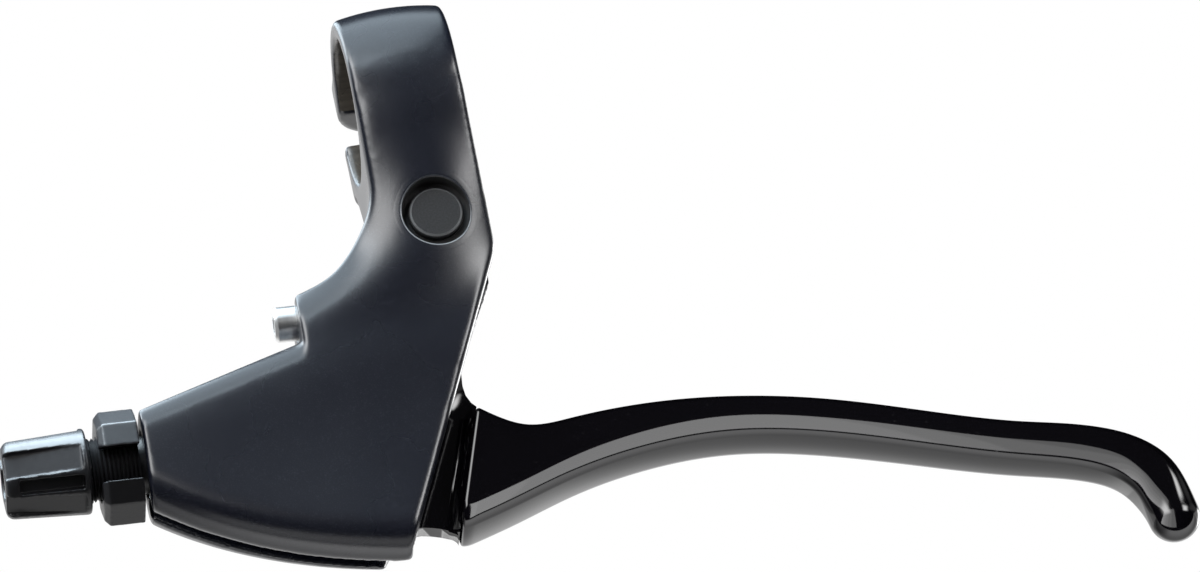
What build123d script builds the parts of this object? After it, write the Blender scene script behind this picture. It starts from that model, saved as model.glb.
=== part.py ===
import os
from math import cos, pi, radians, sin, sqrt, tan

from build123d import *

os.makedirs("parts", exist_ok=True)

# Left-hand city brake lever, in millimetres. The origin is the centre of the handlebar clamp's bore.
# X runs along the bar towards the blade's tip, Z from the blade up to the bar, and -Y to the front.
# The blade, the pivot's circle and the cable lie in the plane Y = 0.

# Handlebar clamp
bar_diameter = 22.2
band_width = 16.6
band_wall = 3.6
band_crown = 0.7
band_edge = 0.7
slit_top = 4.5
slit_width = 5.0
ear_back = 20.4
ear_height_above = 6.0
ear_height_below = 8.7

# Clamp bolt, M5 with a hexagon socket
bolt_diameter = 5.0
bolt_head_diameter = 8.5
bolt_head_height = 5.0
bolt_socket = 4.0
bolt_socket_depth = 2.6
bolt_to_bar = 1.0
bolt_hole_gap = 0.25
clamp_washer_diameter = 9.6
clamp_washer_thickness = 1.0
washer_room = 0.5
head_chamfer = 0.5
thread_gap = 0.05

# Cast body: height, crown centre, front depth, back depth and crown radius of each section
body_sections = (
    (0.5, 0.0, 14.1, 14.1, 60.0),
    (-8.0, 0.0, 13.6, 13.3, 40.0),
    (-16.0, 0.0, 12.0, 9.4, 25.0),
    (-24.0, -1.0, 10.8, 7.6, 20.0),
    (-32.0, -6.0, 9.6, 7.6, 40.0),
    (-40.0, -14.0, 8.6, 7.7, 160.0),
    (-50.0, -24.0, 8.0, 7.7, 400.0),
    (-62.0, -25.0, 7.4, 7.2, 400.0),
    (-78.0, -26.0, 6.6, 6.6, 400.0),
)

# Cast body: silhouette in the plane of the lever
neck_bottom = -16.0
neck_waist = (-10.7, -23.0)
neck_flare = (-15.7, -28.5)
boss_top = (-22.3, -30.7)
boss_foot = (-22.7, -38.5)
arm_end_top = (-48.9, -44.9)
arm_end_bottom = (-49.5, -60.6)
belly_left = (-41.1, -66.0)
belly_right = (-30.4, -70.8)
skirt_corner = (-12.5, -75.3)
knee = (9.0, -28.8)
knee_radius = 8.0
belly_round = 5.0
arm_round = 4.5
neck_round = 1.5
skirt_round = 0.8
back_skirt_trim = 4.4

# Pivot of the lever
pivot_x = 0.8
pivot_z = -23.0
axle_diameter = 6.0
axle_head_diameter = 8.3
axle_head_height = 1.5
axle_head_bevel = 0.45
axle_seat_gap = 0.02
axle_recess_diameter = 10.6
axle_recess_floor = -8.5
axle_recess_bevel = 0.3
axle_back_face = 7.0
axle_end_gap = 0.2
axle_thread_depth = 9.0
pivot_screw_diameter = 4.0
pivot_screw_length = 8.0
pivot_screw_head_diameter = 7.6
pivot_screw_head_height = 2.2
pivot_screw_socket = 2.5
pivot_screw_socket_depth = 1.4
pivot_washer_diameter = 9.0
pivot_washer_thickness = 0.8
spot_face_diameter = 10.4

# Knuckle of the lever and its bushes
knuckle_radius = 7.4
knuckle_half_width = 3.8
bush_wall = 1.0
bush_flange_radius = 5.4
bush_flange_thickness = 0.8
bush_length = 3.4
bush_running_gap = 0.04
bush_side_gap = 0.2
knuckle_air = 1.4

# Return spring
spring_wire = 1.2
spring_turns = 2.25
spring_pitch = 1.22
spring_air = 0.5
spring_boss_radius = 5.3
spring_shelf = 0.1
spring_leg_length = 14.5
spring_stop_length = 4.4
spring_stop_gap = 0.3
spring_floor_gap = 0.1

# Arm of the lever between the bracket's walls
arm_half_width = 4.2
arm_air = 0.9
lever_back_x = -7.8
arm_right_top = (5.2, -31.0)
arm_right_waist = (0.4, -42.0)
arm_right_foot = (-2.6, -49.0)
cheek_wall = 1.9

# Web between the arm and the blade
web_half_width = 1.65
web_top = (2.0, -42.0)
web_waist = ((0.6, -45.9), (0.37, -48.4), (0.55, -50.0), (1.13, -51.3), (2.1, -52.4))
web_foot = ((-4.9, -71.8), (-6.0, -71.4), (-7.2, -70.9), (-8.5, -70.5), (-9.9, -70.2))
web_flare = 2.4
shoulder_round = 0.7
web_left = -11.2
web_inset = 1.0

# Blade from the shoulder to the tip: bar-side point, finger-side point, half depth and the two edge radii
blade_sections = (
    ((1.3, -53.7), (-4.7, -72.4), 6.4, 1.0, 2.8),
    ((8.0, -57.8), (4.6, -69.7), 6.4, 1.0, 2.8),
    ((15.0, -57.9), (13.2, -66.9), 6.3, 1.0, 2.8),
    ((25.6, -57.4), (24.8, -64.5), 6.2, 1.0, 2.8),
    ((37.8, -58.2), (37.2, -64.0), 6.1, 1.0, 2.8),
    ((51.0, -60.6), (49.6, -65.9), 6.0, 1.0, 2.8),
    ((66.0, -65.0), (64.6, -70.2), 5.8, 1.0, 2.8),
    ((81.9, -69.7), (80.5, -75.0), 5.5, 1.0, 2.8),
    ((92.8, -72.3), (91.2, -78.1), 5.2, 1.0, 2.8),
    ((99.2, -75.1), (95.6, -80.8), 4.9, 1.3, 2.8),
    ((103.9, -79.7), (97.7, -84.1), 4.5, 2.2, 2.8),
    ((106.2, -86.2), (98.5, -87.9), 3.9, 3.8, 3.8),
)
tip_turns = (25, 48, 68, 84)

# Cable hook
hook_pin_x = -8.6
hook_pin_diameter = 3.5
hook_running_gap = 0.05
hook_reach = 8.6
hook_half_width = 2.5
hook_side_gap = 0.2
hook_eye_wall = 1.8
nipple_diameter = 7.2
nipple_wall = 1.6
hook_air = 0.8
hook_swing_up = 30.0
hook_stop_gap = 0.3
cable_slot = 2.4

# Adjuster on the cable line, M10
cable_slope = 2.9
cable_rise = 0.5
adjuster_thread_diameter = 9.8
adjuster_running_gap = 0.07
adjuster_engagement = 14.0
adjuster_end_gap = 0.3
knob_start = 8.5
knob_length = 12.9
knob_inner_radius = 6.55
knob_outer_radius = 5.95
knob_end_round = 1.3
knob_rim = 0.9
knob_rim_round = 0.5
flute_count = 5
flute_width = 4.1
flute_floor_inner = 6.1
flute_floor_outer = 4.7
flute_turn = -1.0
mark_width = 2.2
mark_floor = 4.9
mark_end = 2.1
housing_diameter = 6.2
housing_depth = 9.0
cable_hole_diameter = 2.6
adjuster_slot = 2.0
lock_nut_gap = 0.7
lock_nut_length = 6.2
lock_nut_radius = 8.7
lock_nut_chamfer = 0.9
lock_nut_sides = 8
lock_nut_slot = 5.2
lock_nut_turn = -17.0

# Reach screw, M5 set screw
reach_screw_diameter = 5.4
reach_screw_proud = 3.0
reach_screw_slope = 3.0
reach_screw_height = -33.2
reach_screw_chamfer = 0.5
reach_screw_socket = 2.5
reach_screw_socket_depth = 2.6
reach_screw_tip_gap = 0.2
reach_running_gap = 0.05

# Sizes that follow from those above
bore_radius = bar_diameter / 2
band_radius = bore_radius + band_wall
band_half = band_width / 2
body_top = body_sections[0][0]
slit_bottom = slit_top - slit_width
bolt_y = bore_radius + bolt_to_bar + bolt_diameter / 2
ear_centre = ear_back - band_half
ear_top = slit_top + ear_height_above
ear_bottom = slit_bottom - ear_height_below
pocket_half = knuckle_half_width + bush_flange_thickness + bush_side_gap
pocket_radius = knuckle_radius + knuckle_air
bush_bore_radius = axle_diameter / 2 + bush_running_gap
bush_radius = bush_bore_radius + bush_wall
spring_radius = spring_boss_radius + spring_air + spring_wire / 2
spring_leg_drop = spring_leg_length * spring_pitch / (2 * pi * spring_radius)
spring_start = spring_shelf + spring_wire / 2 + spring_leg_drop + spring_floor_gap
bolt_seat = ear_bottom - clamp_washer_thickness
screw_seat = axle_back_face + pivot_washer_thickness
far = 4 * band_radius

# Cable line: it starts at the end face of the bracket's arm and runs out to the left
arm_end_x = (arm_end_top[0] + arm_end_bottom[0]) / 2
arm_end_z = (arm_end_top[1] + arm_end_bottom[1]) / 2
cable_start = Vector(arm_end_x, 0, arm_end_z + cable_rise)
cable_out = Vector(-cos(radians(cable_slope)), 0, sin(radians(cable_slope)))
cable_plane = Plane(origin=cable_start, x_dir=(0, -1, 0), z_dir=cable_out)
cable_profile = Plane(origin=cable_start, x_dir=cable_out, z_dir=(0, -1, 0))
cable_axis = Axis(cable_start, cable_out)
nut_slot_side = Vector(0, -1, 0).rotate(Axis((0, 0, 0), cable_out), lock_nut_turn)
nut_plane = Plane(origin=cable_start + cable_out * lock_nut_gap, x_dir=nut_slot_side, z_dir=cable_out)


def cable_height(x):
    return cable_start.Z - tan(radians(cable_slope)) * (x - cable_start.X)


hook_pin_z = cable_height(hook_pin_x)
nipple_x = hook_pin_x - hook_reach * cos(radians(cable_slope))
nipple_z = cable_height(nipple_x)
raised_x = hook_pin_x - hook_reach * cos(radians(cable_slope + hook_swing_up))
raised_z = hook_pin_z + hook_reach * sin(radians(cable_slope + hook_swing_up))
nipple_to_pivot = sqrt((nipple_x - pivot_x) ** 2 + (nipple_z - pivot_z) ** 2)
hook_eye_radius = hook_pin_diameter / 2 + hook_eye_wall
cheek_radius = hook_pin_diameter / 2 + cheek_wall
nipple_eye_radius = nipple_diameter / 2 + nipple_wall
fork_half = hook_half_width + hook_side_gap
bay_left = nipple_x - nipple_eye_radius - hook_air
bay_top = raised_z + nipple_eye_radius + hook_air
bay_bottom = pivot_z - nipple_to_pivot - nipple_eye_radius - hook_air
pocket_left = lever_back_x - arm_air
pocket_foot = web_left - arm_air

# Reach screw line: it starts at the screw's outer end and runs in to the lever's arm
reach_in = Vector(cos(radians(reach_screw_slope)), 0, -sin(radians(reach_screw_slope)))
reach_start = Vector(boss_foot[0], 0, reach_screw_height) - reach_in * reach_screw_proud
reach_length = (lever_back_x - reach_screw_tip_gap - reach_start.X) / cos(radians(reach_screw_slope))
reach_plane = Plane(origin=reach_start, x_dir=(0, -1, 0), z_dir=reach_in)

pivot_plane = Plane(origin=(pivot_x, 0, pivot_z), x_dir=(1, 0, 0), z_dir=(0, -1, 0))
pivot_axis = Axis((pivot_x, 0, pivot_z), (0, 1, 0))


def rim_edges(body, first, last):
    low_x, high_x = sorted((first[0], last[0]))
    low_z, high_z = sorted((first[1], last[1]))
    found = body.edges().filter_by_position(Axis.X, low_x, high_x, (False, False))
    found = found.filter_by_position(Axis.Z, low_z, high_z, (False, False)).sort_by(Axis.Y)
    return [found[0], found[-1]]


# Bracket: aluminium die casting with the clamp band, the neck and the cable arm in one piece
with BuildPart() as bracket:
    # The body is lofted through crowned sections and cut to its silhouette
    for height, centre, front, back, crown in body_sections:
        half_width = sqrt(crown**2 - (crown - front) ** 2)
        with BuildSketch(Plane.XY.offset(height)):
            with BuildLine():
                ThreePointArc((centre - half_width, 0), (centre, -front), (centre + half_width, 0))
                ThreePointArc((centre + half_width, 0), (centre, back), (centre - half_width, 0))
            make_face()
    loft()
    with BuildSketch(Plane.XZ) as silhouette:
        with BuildLine():
            neck_start = (-band_half, neck_bottom)
            Line((-band_half, body_top), neck_start)
            Spline(neck_start, neck_waist, neck_flare, boss_top, tangents=[(0, -1), (-1, -0.15)])
            Polyline(boss_top, boss_foot, arm_end_top, arm_end_bottom)
            Spline(arm_end_bottom, belly_left, belly_right, skirt_corner)
            Polyline(skirt_corner, knee, (band_half, body_top), (-band_half, body_top))
        make_face()
        fillet(silhouette.vertices().sort_by_distance((*knee, 0))[0], knee_radius)
    extrude(amount=far, both=True, mode=Mode.INTERSECT)
    fillet(rim_edges(bracket, (-band_half, neck_bottom), boss_top), neck_round)
    fillet(rim_edges(bracket, arm_end_bottom, skirt_corner), belly_round)
    fillet(rim_edges(bracket, arm_end_top, boss_foot), arm_round)
    fillet(rim_edges(bracket, knee, skirt_corner), skirt_round)

    # The clamp band is turned about the bar
    with BuildSketch(Plane.XZ):
        with BuildLine():
            Polyline(
                (-band_half, band_radius - band_crown - band_edge),
                (-band_half, bore_radius - band_wall),
                (band_half, bore_radius - band_wall),
                (band_half, band_radius - band_crown - band_edge),
            )
            RadiusArc(
                (band_half, band_radius - band_crown - band_edge),
                (band_half - band_edge, band_radius - band_crown),
                -band_edge,
            )
            ThreePointArc(
                (band_half - band_edge, band_radius - band_crown),
                (0, band_radius),
                (-band_half + band_edge, band_radius - band_crown),
            )
            RadiusArc(
                (-band_half + band_edge, band_radius - band_crown),
                (-band_half, band_radius - band_crown - band_edge),
                -band_edge,
            )
        make_face()
    revolve(axis=Axis.X)

    # Ears for the clamp bolt, the bore and the slit
    with BuildSketch(Plane.XY.offset(ear_bottom)):
        with Locations((0, ear_centre)):
            Circle(band_half)
        with Locations((0, ear_centre / 2)):
            Rectangle(band_width, ear_centre)
    extrude(amount=ear_top - ear_bottom)
    with BuildSketch(Plane.YZ):
        Circle(bore_radius)
    extrude(amount=far, both=True, mode=Mode.SUBTRACT)
    with BuildSketch(Plane.YZ):
        with Locations((far / 2, (slit_top + slit_bottom) / 2)):
            Rectangle(far, slit_width)
    extrude(amount=far, both=True, mode=Mode.SUBTRACT)
    with BuildSketch(Plane.XY.offset(slit_bottom)):
        with Locations((0, bolt_y)):
            Circle(bolt_diameter / 2 + thread_gap)
    extrude(amount=far, mode=Mode.SUBTRACT)
    with BuildSketch(Plane.XY.offset(slit_bottom)):
        with Locations((0, bolt_y)):
            Circle(bolt_diameter / 2 + bolt_hole_gap)
    extrude(amount=-far, mode=Mode.SUBTRACT)
    with BuildSketch(Plane.XY.offset(ear_bottom)):
        with Locations((0, bolt_y)):
            Circle(clamp_washer_diameter / 2 + washer_room)
    extrude(amount=-far, mode=Mode.SUBTRACT)

    # Pocket for the lever's knuckle, arm and hook, open to the right
    with BuildSketch(Plane.XZ):
        with Locations((pivot_x, pivot_z)):
            Circle(pocket_radius)
        with BuildLine():
            Polyline(
                (pocket_left, pivot_z),
                (pocket_left, bay_top),
                (bay_left, bay_top),
                (bay_left, bay_bottom),
                (pocket_foot, bay_bottom),
                (pocket_foot, skirt_corner[1] - belly_round),
                (far, skirt_corner[1] - belly_round),
                (far, pivot_z),
                close=True,
            )
        make_face()
    extrude(amount=pocket_half, both=True, mode=Mode.SUBTRACT)

    # Cable slot from the adjuster's thread to the pocket, open below, and the shorter back wall
    with BuildSketch(Plane.XZ):
        with BuildLine():
            Polyline(
                (cable_start.X - belly_round, cable_height(cable_start.X) + cable_slot / 2),
                (pocket_foot, cable_height(pocket_foot) + cable_slot / 2),
                (pocket_foot, skirt_corner[1] - belly_round),
                (cable_start.X - belly_round, skirt_corner[1] - belly_round),
                close=True,
            )
        make_face()
    extrude(amount=cable_slot / 2, both=True, mode=Mode.SUBTRACT)
    with BuildSketch(Plane.XZ.offset(-cable_slot / 2)):
        with BuildLine():
            Polyline(
                (knee[0] + belly_round, knee[1]),
                knee,
                (skirt_corner[0] - back_skirt_trim, skirt_corner[1]),
                (skirt_corner[0] - back_skirt_trim, skirt_corner[1] - belly_round),
                (knee[0] + belly_round, skirt_corner[1] - belly_round),
                close=True,
            )
        make_face()
    extrude(amount=-far, mode=Mode.SUBTRACT)

    # Holes for the axle, the reach screw and the adjuster
    with BuildSketch(pivot_plane):
        Circle(axle_diameter / 2 + axle_seat_gap)
    extrude(amount=far, both=True, mode=Mode.SUBTRACT)
    with BuildSketch(pivot_plane.offset(-axle_recess_floor)):
        Circle(axle_recess_diameter / 2)
    extrude(amount=far, mode=Mode.SUBTRACT)
    chamfer(bracket.edges(Select.LAST).filter_by(GeomType.BSPLINE), axle_recess_bevel)
    with BuildSketch(pivot_plane.offset(-axle_back_face)):
        Circle(spot_face_diameter / 2)
    extrude(amount=-far, mode=Mode.SUBTRACT)
    with BuildSketch(reach_plane):
        Circle(reach_screw_diameter / 2 + reach_running_gap)
    extrude(amount=reach_length, mode=Mode.SUBTRACT)
    with BuildSketch(nut_plane):
        Circle(adjuster_thread_diameter / 2 + adjuster_running_gap)
    extrude(amount=-lock_nut_gap - adjuster_engagement, mode=Mode.SUBTRACT)

bracket.part.label = "bracket"
export_step(bracket.part, "parts/bracket.step")

# Clamp bolt: steel cap screw that draws the two ears together
with BuildPart() as clamp_bolt:
    with BuildSketch(Plane.XY.offset(bolt_seat)):
        with Locations((0, bolt_y)):
            Circle(bolt_head_diameter / 2)
    extrude(amount=-bolt_head_height)
    chamfer(clamp_bolt.edges().group_by(Axis.Z)[0], head_chamfer)
    with BuildSketch(Plane.XY.offset(bolt_seat)):
        with Locations((0, bolt_y)):
            Circle(bolt_diameter / 2)
    extrude(amount=ear_top - head_chamfer - bolt_seat)
    chamfer(clamp_bolt.edges().group_by(Axis.Z)[-1], head_chamfer)
    with BuildSketch(Plane.XY.offset(bolt_seat - bolt_head_height)):
        with Locations((0, bolt_y)):
            RegularPolygon(bolt_socket / 2, 6, major_radius=False)
    extrude(amount=bolt_socket_depth, mode=Mode.SUBTRACT)

clamp_bolt.part.label = "clamp_bolt"
export_step(clamp_bolt.part, "parts/clamp_bolt.step")

# Washer under the head of the clamp bolt
with BuildPart() as clamp_washer:
    with BuildSketch(Plane.XY.offset(bolt_seat)):
        with Locations((0, bolt_y)):
            Circle(clamp_washer_diameter / 2)
            Circle(bolt_diameter / 2 + bolt_hole_gap, mode=Mode.SUBTRACT)
    extrude(amount=clamp_washer_thickness)

clamp_washer.part.label = "clamp_washer"
export_step(clamp_washer.part, "parts/clamp_washer.step")

# Pivot axle: turned steel pin whose round head lies in the recess on the front
with BuildPart() as pivot_axle:
    with BuildSketch(pivot_plane.offset(-axle_recess_floor)):
        Circle(axle_head_diameter / 2)
    extrude(amount=axle_head_height)
    chamfer(pivot_axle.edges().group_by(Axis.Y)[0], axle_head_bevel)
    with BuildSketch(pivot_plane.offset(-axle_recess_floor)):
        Circle(axle_diameter / 2)
    extrude(amount=axle_recess_floor - axle_back_face + axle_end_gap)
    with BuildSketch(pivot_plane.offset(-axle_back_face + axle_end_gap)):
        Circle(pivot_screw_diameter / 2 + thread_gap)
    extrude(amount=axle_thread_depth, mode=Mode.SUBTRACT)

pivot_axle.part.label = "pivot_axle"
export_step(pivot_axle.part, "parts/pivot_axle.step")

# Washer between the back of the bracket and the pivot screw
with BuildPart() as pivot_washer:
    with BuildSketch(pivot_plane.offset(-axle_back_face)):
        Circle(pivot_washer_diameter / 2)
        Circle(pivot_screw_diameter / 2 + axle_end_gap, mode=Mode.SUBTRACT)
    extrude(amount=-pivot_washer_thickness)

pivot_washer.part.label = "pivot_washer"
export_step(pivot_washer.part, "parts/pivot_washer.step")

# Pivot screw: low steel screw that closes the axle from behind
with BuildPart() as pivot_screw:
    with BuildSketch(pivot_plane.offset(-screw_seat)):
        Circle(pivot_screw_head_diameter / 2)
    extrude(amount=-pivot_screw_head_height)
    fillet(pivot_screw.edges().group_by(Axis.Y)[-1], pivot_screw_head_height / 2)
    with BuildSketch(pivot_plane.offset(-screw_seat)):
        Circle(pivot_screw_diameter / 2)
    extrude(amount=pivot_screw_length)
    with BuildSketch(pivot_plane.offset(-screw_seat - pivot_screw_head_height)):
        RegularPolygon(pivot_screw_socket / 2, 6, major_radius=False)
    extrude(amount=pivot_screw_socket_depth, mode=Mode.SUBTRACT)

pivot_screw.part.label = "pivot_screw"
export_step(pivot_screw.part, "parts/pivot_screw.step")

# Bushes: flanged plain bearings pressed into both ends of the knuckle
with BuildPart() as bush_front:
    with BuildSketch(pivot_plane.offset(knuckle_half_width)):
        Circle(bush_flange_radius)
    extrude(amount=bush_flange_thickness)
    with BuildSketch(pivot_plane.offset(knuckle_half_width)):
        Circle(bush_radius)
    extrude(amount=-bush_length)
    with BuildSketch(pivot_plane):
        Circle(bush_bore_radius)
    extrude(amount=far, both=True, mode=Mode.SUBTRACT)

bush_front.part.label = "bush_front"
export_step(bush_front.part, "parts/bush_front.step")

with BuildPart() as bush_back:
    add(bush_front.part.mirror(Plane.XZ))

bush_back.part.label = "bush_back"
export_step(bush_back.part, "parts/bush_back.step")

# Lever: forged aluminium blade, web, arm and knuckle in one piece
with BuildPart() as lever_blade:
    # The blade is lofted through rounded sections from the shoulder to the tip, which ends in a dome
    for bar_side, finger_side, half_depth, bar_round, finger_round in blade_sections:
        rise = Vector(bar_side[0] - finger_side[0], 0, bar_side[1] - finger_side[1])
        middle = ((bar_side[0] + finger_side[0]) / 2, 0, (bar_side[1] + finger_side[1]) / 2)
        section_plane = Plane(origin=middle, x_dir=(0, -1, 0), z_dir=(-rise.Z, 0, rise.X))
        with BuildSketch(section_plane) as section:
            Rectangle(2 * half_depth, rise.length)
            fillet(section.vertices().group_by(Axis.Y)[-1], bar_round)
            fillet(section.vertices().group_by(Axis.Y)[0], finger_round)
    for turn in tip_turns:
        shrink = cos(radians(turn))
        with BuildSketch(section_plane.offset(-rise.length / 2 * sin(radians(turn)))) as section:
            Rectangle(2 * half_depth * shrink, rise.length * shrink)
            fillet(section.vertices(), bar_round * shrink)
    loft()
    fillet(lever_blade.faces().sort_by(SortBy.AREA).filter_by(GeomType.PLANE)[-1].edges(), shoulder_round)

    # Web from the arm to the blade, thinner than both, flared where it meets the shoulder
    shoulder_top, shoulder_bottom = blade_sections[0][:2]
    rise = Vector(shoulder_top[0] - shoulder_bottom[0], 0, shoulder_top[1] - shoulder_bottom[1])
    middle = ((shoulder_top[0] + shoulder_bottom[0]) / 2, 0, (shoulder_top[1] + shoulder_bottom[1]) / 2)
    with BuildSketch(Plane(origin=middle, x_dir=(0, -1, 0), z_dir=rise)):
        with Locations((0, -web_flare / 2)):
            Rectangle(2 * (web_half_width + web_flare), web_flare)
        with Locations((-web_half_width - web_flare, -web_flare), (web_half_width + web_flare, -web_flare)):
            Circle(web_flare, mode=Mode.SUBTRACT)
    extrude(amount=rise.length / 2 - shoulder_round, both=True)
    root_top, root_bottom = blade_sections[1][:2]
    with BuildSketch(Plane.XZ):
        with BuildLine():
            Polyline(
                web_top,
                *web_waist,
                (shoulder_top[0] + web_inset, shoulder_top[1] - web_inset),
                (root_top[0], root_top[1] - web_inset),
                (root_bottom[0], root_bottom[1] + web_inset),
                (shoulder_bottom[0] + web_inset, shoulder_bottom[1] + web_inset / 2),
                *web_foot,
                (web_left, web_foot[-1][1]),
                (web_left, hook_pin_z),
                (hook_pin_x, bay_top),
                close=True,
            )
        make_face()
    extrude(amount=web_half_width, both=True)

    # Arm between the bracket's walls, its fork for the cable hook and the knuckle round the pivot
    with BuildSketch(Plane.XZ):
        with BuildLine():
            Polyline(
                (pivot_x - knuckle_radius, pivot_z),
                (lever_back_x, pivot_z - knuckle_radius),
                (lever_back_x, bay_top),
                (hook_pin_x - cheek_radius, hook_pin_z),
                (hook_pin_x + cheek_radius, hook_pin_z),
                arm_right_foot,
                arm_right_waist,
                arm_right_top,
                (pivot_x + knuckle_radius, pivot_z),
                close=True,
            )
        make_face()
        with Locations((hook_pin_x, hook_pin_z)):
            Circle(cheek_radius)
    extrude(amount=arm_half_width, both=True)
    with BuildSketch(pivot_plane):
        Circle(knuckle_radius)
    extrude(amount=arm_half_width, both=True)
    for side in (-1, 1):
        with BuildSketch(pivot_plane.offset(side * knuckle_half_width)):
            Circle(pocket_radius)
        extrude(amount=side * far, mode=Mode.SUBTRACT)

    # Shelf round the spring's boss, and the groove of the spring's lower leg
    with BuildSketch(pivot_plane.offset(-spring_shelf)):
        Circle(pocket_radius)
        Circle(spring_boss_radius, mode=Mode.SUBTRACT)
        with Locations((-spring_radius, -spring_leg_length / 2)):
            Rectangle(spring_wire + 2 * spring_stop_gap, spring_leg_length + 2 * spring_stop_gap)
    extrude(amount=-far, mode=Mode.SUBTRACT)

    # Bore of the bushes, fork round the cable hook and hole of its pin
    with BuildSketch(pivot_plane):
        Circle(bush_radius)
    extrude(amount=far, both=True, mode=Mode.SUBTRACT)
    with BuildSketch(Plane.XZ):
        with Locations((hook_pin_x, hook_pin_z)):
            Circle(hook_eye_radius + hook_stop_gap)
        with Locations((nipple_x, nipple_z), (raised_x, raised_z)):
            Circle(nipple_eye_radius + hook_stop_gap)
        make_hull()
    extrude(amount=fork_half, both=True, mode=Mode.SUBTRACT)
    with BuildSketch(Plane.XZ):
        with Locations((hook_pin_x, hook_pin_z)):
            Circle(hook_pin_diameter / 2)
    extrude(amount=far, both=True, mode=Mode.SUBTRACT)

lever_blade.part.label = "lever_blade"
export_step(lever_blade.part, "parts/lever_blade.step")

# Return spring: torsion spring round the knuckle's boss, with one leg on the arm and one on the bracket
with BuildPart() as return_spring:
    with BuildLine() as spring_path:
        coil = Helix(
            pitch=spring_pitch,
            height=spring_turns * spring_pitch,
            radius=spring_radius,
            center=(pivot_x, spring_start, pivot_z),
            direction=(0, 1, 0),
            mode=Mode.PRIVATE,
        ).rotate(pivot_axis, -90)
        Line(coil @ 0 - coil % 0 * spring_leg_length, coil @ 0)
        add(coil)
        Line(coil @ 1, coil @ 1 + coil % 1 * spring_stop_length)
    with BuildSketch(Plane(origin=spring_path.wire() @ 0, z_dir=spring_path.wire() % 0)):
        Circle(spring_wire / 2)
    sweep(path=spring_path.wire())

return_spring.part.label = "return_spring"
export_step(return_spring.part, "parts/return_spring.step")

# Cable hook: steel saddle that takes the cable's nipple
with BuildPart() as cable_hook:
    with BuildSketch(Plane.XZ):
        with Locations((hook_pin_x, hook_pin_z)):
            Circle(hook_eye_radius)
        with Locations((nipple_x, nipple_z)):
            Circle(nipple_eye_radius)
        make_hull()
    extrude(amount=hook_half_width, both=True)
    with BuildSketch(Plane.XZ):
        with Locations((hook_pin_x, hook_pin_z)):
            Circle(hook_pin_diameter / 2 + hook_running_gap)
        with Locations((nipple_x, nipple_z)):
            Circle(nipple_diameter / 2)
    extrude(amount=far, both=True, mode=Mode.SUBTRACT)
    with BuildSketch(Plane.XZ):
        with Locations((nipple_x - nipple_eye_radius / 2, nipple_z - nipple_eye_radius / 2)):
            Rectangle(nipple_eye_radius + cable_slot, nipple_eye_radius + cable_slot)
    extrude(amount=cable_slot / 2, both=True, mode=Mode.SUBTRACT)

cable_hook.part.label = "cable_hook"
export_step(cable_hook.part, "parts/cable_hook.step")

# Pin of the cable hook, pressed into both cheeks of the fork
with BuildPart() as hook_pin:
    with BuildSketch(Plane.XZ):
        with Locations((hook_pin_x, hook_pin_z)):
            Circle(hook_pin_diameter / 2)
    extrude(amount=arm_half_width, both=True)

hook_pin.part.label = "hook_pin"
export_step(hook_pin.part, "parts/hook_pin.step")

# Reach screw: steel set screw that the arm rests on
with BuildPart() as reach_screw:
    with BuildSketch(reach_plane):
        Circle(reach_screw_diameter / 2)
    extrude(amount=reach_length)
    chamfer(reach_screw.edges().group_by(Axis.X)[0], reach_screw_chamfer)
    chamfer(reach_screw.edges().group_by(Axis.X)[-1], reach_screw_diameter / 4)
    with BuildSketch(reach_plane):
        RegularPolygon(reach_screw_socket / 2, 6, major_radius=False)
    extrude(amount=reach_screw_socket_depth, mode=Mode.SUBTRACT)

reach_screw.part.label = "reach_screw"
export_step(reach_screw.part, "parts/reach_screw.step")

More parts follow.
